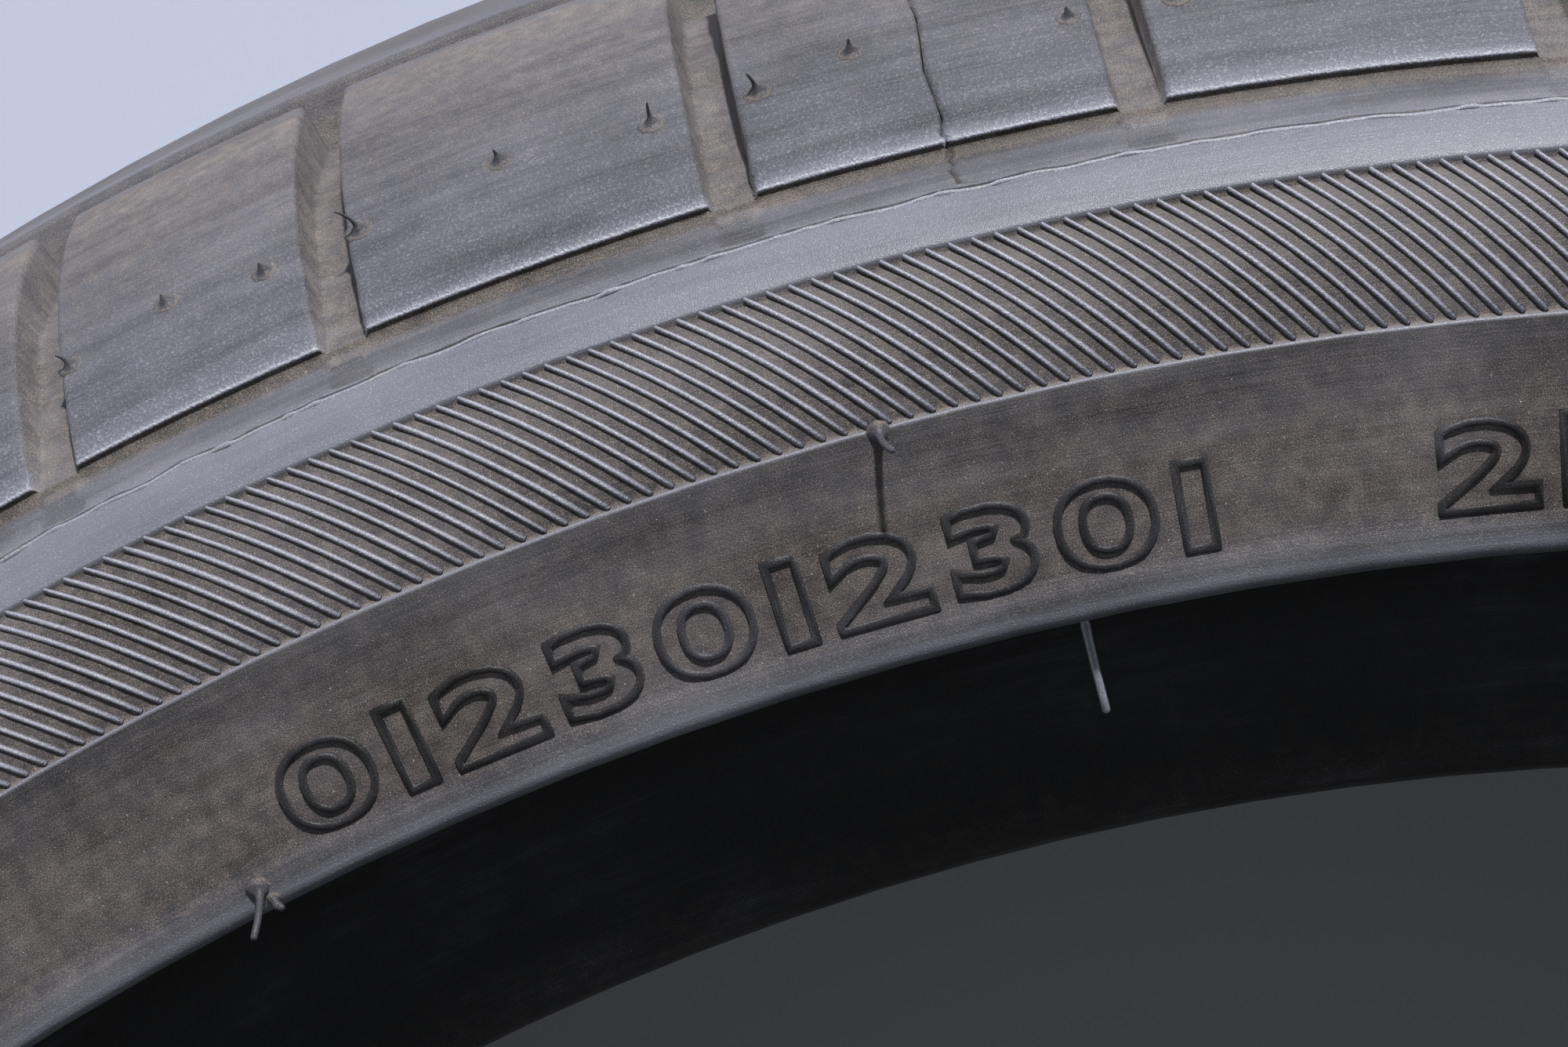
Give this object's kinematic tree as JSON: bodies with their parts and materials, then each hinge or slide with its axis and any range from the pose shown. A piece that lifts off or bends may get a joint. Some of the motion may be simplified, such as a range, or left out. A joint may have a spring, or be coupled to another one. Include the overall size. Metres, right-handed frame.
{
  "type": "car tyre",
  "caption": "Low-profile radial car tyre with ribbed tread, grooved shoulders, thick sidewalls and rim protector ribs, for a drop-centre rim.",
  "frame": {"origin": "centre of the tyre, on its axis and in its middle plane", "axes": "+Z along the axle axis, towards the pictured sidewall; the tyre lies on its other side"},
  "size_m": [0.661, 0.661, 0.256],
  "materials": {
    "rubber": "matt black rubber with dust in the grooves"
  },
  "bodies": {
    "root": {"tyre": "rubber"}
  },
  "joints": []
}
